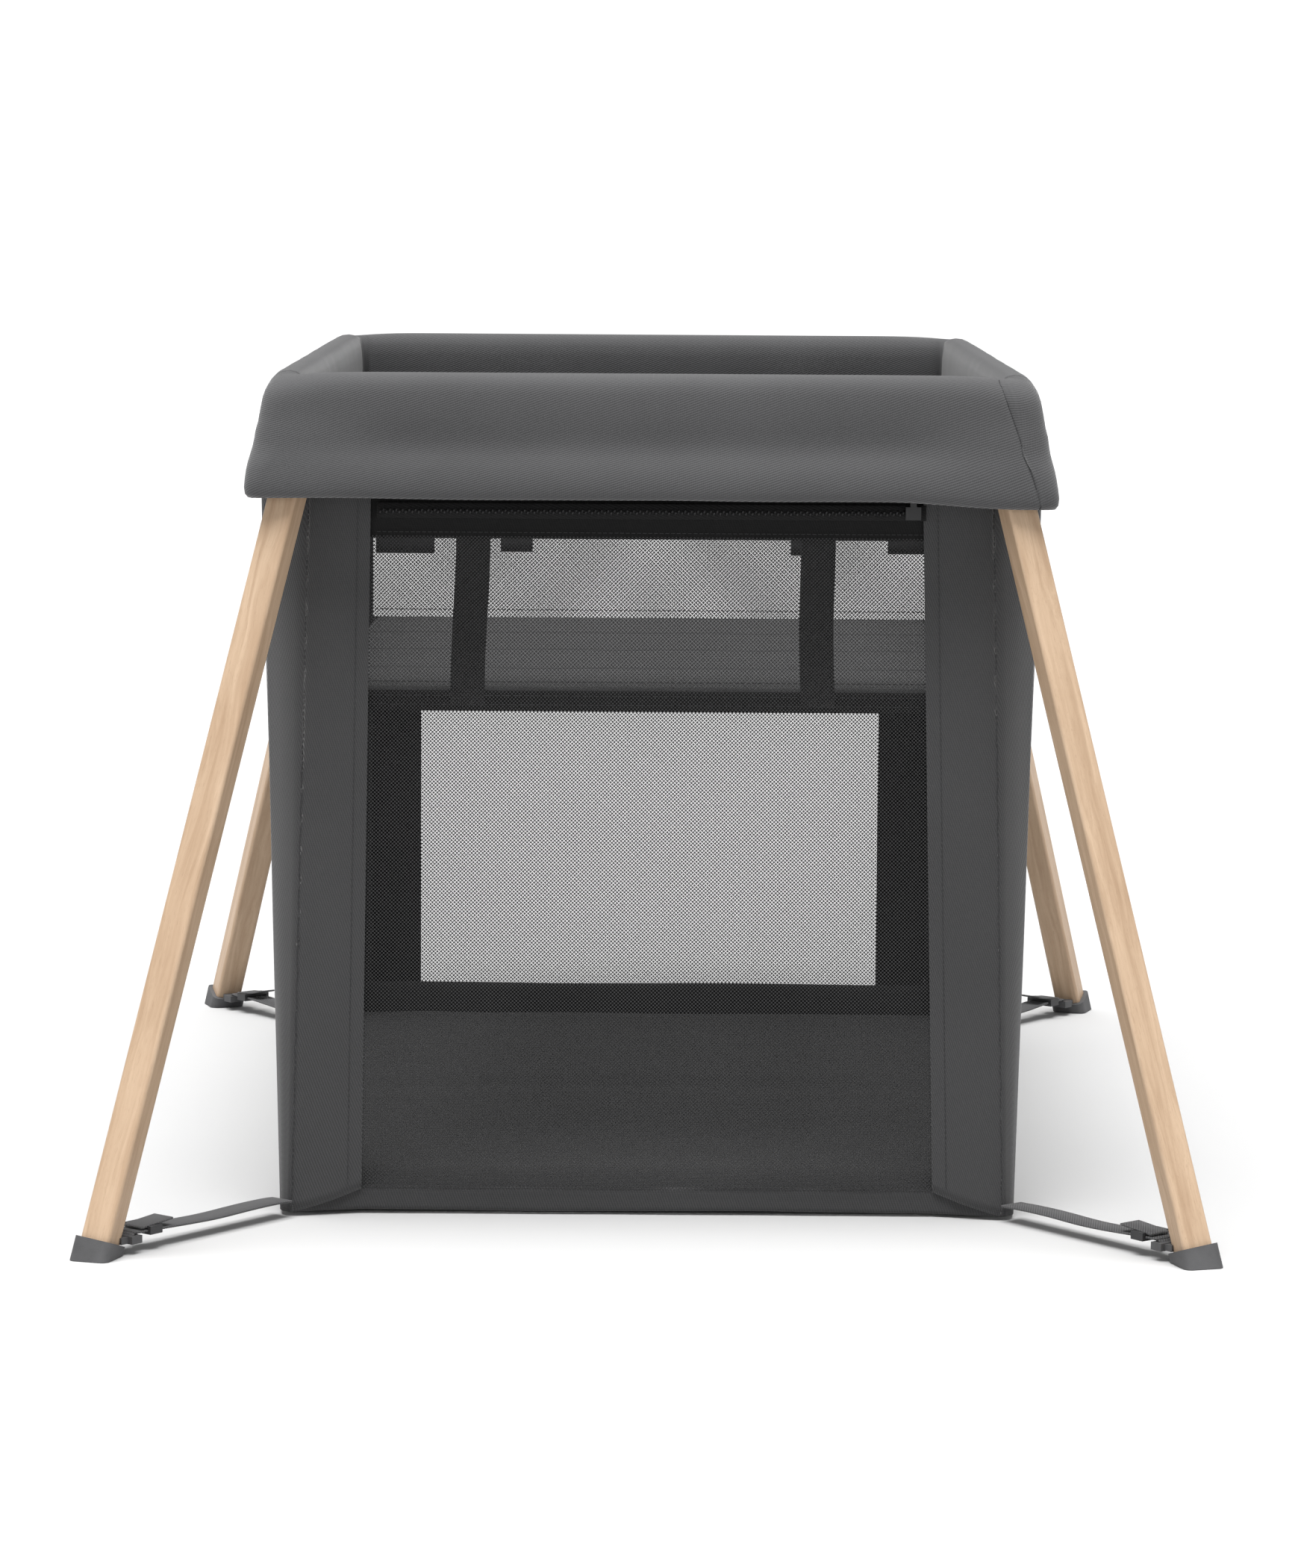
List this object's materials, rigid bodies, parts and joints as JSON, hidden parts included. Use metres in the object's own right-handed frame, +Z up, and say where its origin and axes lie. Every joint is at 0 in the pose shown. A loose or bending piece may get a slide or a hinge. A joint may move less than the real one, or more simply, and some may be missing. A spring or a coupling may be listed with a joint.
{
  "type": "travel play yard",
  "caption": "Fabric play yard hung from a padded folding rail on splayed wooden legs, with mesh windows, a hung bassinet insert and webbing tethers to the feet.",
  "frame": {"origin": "on the floor under the middle of the yard", "axes": "+Z up, +Y along the long sides from the front end to the rear end, +X across the short ends to the right"},
  "size_m": [0.8746, 1.198, 0.665],
  "materials": {
    "cover_twill": "padded charcoal twill",
    "panel_twill": "charcoal twill",
    "wall_mesh": "dark open net with woven borders",
    "insert_mesh": "dark open net with webbing",
    "webbing": "woven strap",
    "floor_fabric": "padded woven floor",
    "mattress_fabric": "grey woven mattress cover",
    "moulded_nylon": "moulded nylon",
    "leg_wood": "clear satin hardwood",
    "foot_rubber": "dark grey moulded rubber",
    "rail_aluminium": "drawn tube",
    "steel": "bright steel",
    "button_plastic": "satin button",
    "zip_metal": "dark slider"
  },
  "bodies": {
    "front_frame": {"front_end_rail": "rail_aluminium", "front_corner_hubs": "moulded_nylon", "front_pivot_pins": "steel", "front_rail_cover": "cover_twill", "front_end_wall": "wall_mesh", "front_corner_panels": "panel_twill", "front_tether_straps": "webbing", "bassinet_front_wall": "insert_mesh", "left_rail_cover": "cover_twill", "right_rail_cover": "cover_twill", "left_mesh_wall": "wall_mesh", "right_mesh_wall": "wall_mesh", "box_floor": "floor_fabric", "bassinet_sling": "insert_mesh"},
    "rear_frame": {"rear_end_rail": "rail_aluminium", "rear_corner_hubs": "moulded_nylon", "rear_pivot_pins": "steel", "rear_rail_cover": "cover_twill", "rear_end_wall": "wall_mesh", "rear_corner_panels": "panel_twill", "rear_tether_straps": "webbing", "bassinet_rear_wall": "insert_mesh"},
    "left_front_half": {"left_front_rail_tube": "rail_aluminium", "left_front_hinge_housing": "moulded_nylon", "left_hinge_pin": "steel", "left_button_spring": "steel"},
    "left_rear_half": {"left_rear_rail_tube": "rail_aluminium", "left_rear_hinge_housing": "moulded_nylon"},
    "left_button": {"left_release_button": "button_plastic"},
    "left_bolt": {"left_latch_bolt": "steel"},
    "right_front_half": {"right_front_rail_tube": "rail_aluminium", "right_front_hinge_housing": "moulded_nylon", "right_hinge_pin": "steel", "right_button_spring": "steel"},
    "right_rear_half": {"right_rear_rail_tube": "rail_aluminium", "right_rear_hinge_housing": "moulded_nylon"},
    "right_button": {"right_release_button": "button_plastic"},
    "right_bolt": {"right_latch_bolt": "steel"},
    "leg_front_left": {"leg_front_left": "leg_wood", "leg_insert_front_left": "moulded_nylon", "foot_cap_front_left": "foot_rubber", "strap_buckle_front_left": "moulded_nylon"},
    "leg_front_right": {"leg_front_right": "leg_wood", "leg_insert_front_right": "moulded_nylon", "foot_cap_front_right": "foot_rubber", "strap_buckle_front_right": "moulded_nylon"},
    "leg_rear_left": {"leg_rear_left": "leg_wood", "leg_insert_rear_left": "moulded_nylon", "foot_cap_rear_left": "foot_rubber", "strap_buckle_rear_left": "moulded_nylon"},
    "leg_rear_right": {"leg_rear_right": "leg_wood", "leg_insert_rear_right": "moulded_nylon", "foot_cap_rear_right": "foot_rubber", "strap_buckle_rear_right": "moulded_nylon"},
    "zipper_slider": {"zipper_slider": "zip_metal"},
    "mattress_1": {"mattress_panel_1": "mattress_fabric"},
    "mattress_2": {"mattress_panel_2": "mattress_fabric"},
    "mattress_3": {"mattress_panel_3": "mattress_fabric"},
    "mattress_4": {"mattress_panel_4": "mattress_fabric"}
  },
  "joints": [
    {"name": "left_rail_fold", "type": "hinge", "parent": "front_frame", "child": "left_front_half", "pos_m": [-0.284, -0.36, 0.64], "axis": [-1, 0, 0], "range_deg": [0, 80], "deforming": ["left_rail_cover", "right_rail_cover", "left_mesh_wall", "right_mesh_wall", "box_floor", "bassinet_sling"]},
    {"name": "left_middle_hinge", "type": "hinge", "parent": "left_front_half", "child": "left_rear_half", "pos_m": [-0.284, 0, 0.652], "axis": [-1, 0, 0], "range_deg": [-160, 0]},
    {"name": "left_button_press", "type": "slide", "parent": "left_front_half", "child": "left_button", "axis": [0, 0, 1], "range_m": [0, 0.003], "stiffness_N_per_m": 500, "springref_m": -0.002, "deforming": ["left_button_spring"]},
    {"name": "left_bolt_slide", "type": "slide", "parent": "left_front_half", "child": "left_bolt", "axis": [0, -1, 0], "range_m": [0, 0.0048]},
    {"name": "right_rail_fold", "type": "hinge", "parent": "front_frame", "child": "right_front_half", "pos_m": [0.284, -0.36, 0.64], "axis": [-1, 0, 0], "range_deg": [0, 80]},
    {"name": "right_middle_hinge", "type": "hinge", "parent": "right_front_half", "child": "right_rear_half", "pos_m": [0.284, 0, 0.652], "axis": [-1, 0, 0], "range_deg": [-160, 0]},
    {"name": "right_button_press", "type": "slide", "parent": "right_front_half", "child": "right_button", "axis": [0, 0, 1], "range_m": [0, 0.003], "stiffness_N_per_m": 500, "springref_m": -0.002, "deforming": ["right_button_spring"]},
    {"name": "right_bolt_slide", "type": "slide", "parent": "right_front_half", "child": "right_bolt", "axis": [0, -1, 0], "range_m": [0, 0.0048]},
    {"name": "rear_frame_pivot", "type": "hinge", "parent": "left_rear_half", "child": "rear_frame", "pos_m": [-0.284, 0.36, 0.64], "axis": [-1, 0, 0], "range_deg": [0, 80]},
    {"name": "leg_front_left_fold", "type": "hinge", "parent": "front_frame", "child": "leg_front_left", "pos_m": [-0.275, -0.43, 0.598], "axis": [0.7238, -0.69, 0], "range_deg": [0, 17], "deforming": ["front_tether_straps"]},
    {"name": "leg_front_right_fold", "type": "hinge", "parent": "front_frame", "child": "leg_front_right", "pos_m": [0.275, -0.43, 0.598], "axis": [0.7238, 0.69, 0], "range_deg": [0, 17]},
    {"name": "leg_rear_left_fold", "type": "hinge", "parent": "rear_frame", "child": "leg_rear_left", "pos_m": [-0.275, 0.43, 0.598], "axis": [-0.7238, -0.69, 0], "range_deg": [0, 17], "deforming": ["rear_tether_straps"]},
    {"name": "leg_rear_right_fold", "type": "hinge", "parent": "rear_frame", "child": "leg_rear_right", "pos_m": [0.275, 0.43, 0.598], "axis": [-0.7238, 0.69, 0], "range_deg": [0, 17]},
    {"name": "zipper_slide", "type": "slide", "parent": "front_frame", "child": "zipper_slider", "axis": [-1, 0, 0], "range_m": [0, 0.408]},
    {"name": "mattress_fold_1", "type": "hinge", "parent": "front_frame", "child": "mattress_1", "pos_m": [0, -0.388, 0.41], "axis": [1, 0, 0], "range_deg": [0, 80]},
    {"name": "mattress_fold_2", "type": "hinge", "parent": "mattress_1", "child": "mattress_2", "pos_m": [0, -0.194, 0.396], "axis": [1, 0, 0], "range_deg": [-160, 0]},
    {"name": "mattress_fold_3", "type": "hinge", "parent": "mattress_2", "child": "mattress_3", "pos_m": [0, 0, 0.41], "axis": [1, 0, 0], "range_deg": [0, 160]},
    {"name": "mattress_fold_4", "type": "hinge", "parent": "mattress_3", "child": "mattress_4", "pos_m": [0, 0.194, 0.396], "axis": [1, 0, 0], "range_deg": [-160, 0]}
  ],
  "couplings": [
    {"joint": "left_middle_hinge", "follows": "left_rail_fold", "ratio": -2},
    {"joint": "left_bolt_slide", "follows": "left_button_press", "ratio": 1.6},
    {"joint": "right_rail_fold", "follows": "left_rail_fold", "ratio": 1},
    {"joint": "right_middle_hinge", "follows": "left_rail_fold", "ratio": -2},
    {"joint": "right_bolt_slide", "follows": "right_button_press", "ratio": 1.6},
    {"joint": "rear_frame_pivot", "follows": "left_rail_fold", "ratio": 1},
    {"joint": "mattress_fold_1", "follows": "left_rail_fold", "ratio": 1},
    {"joint": "mattress_fold_2", "follows": "left_rail_fold", "ratio": -2},
    {"joint": "mattress_fold_3", "follows": "left_rail_fold", "ratio": 2},
    {"joint": "mattress_fold_4", "follows": "left_rail_fold", "ratio": -2}
  ]
}
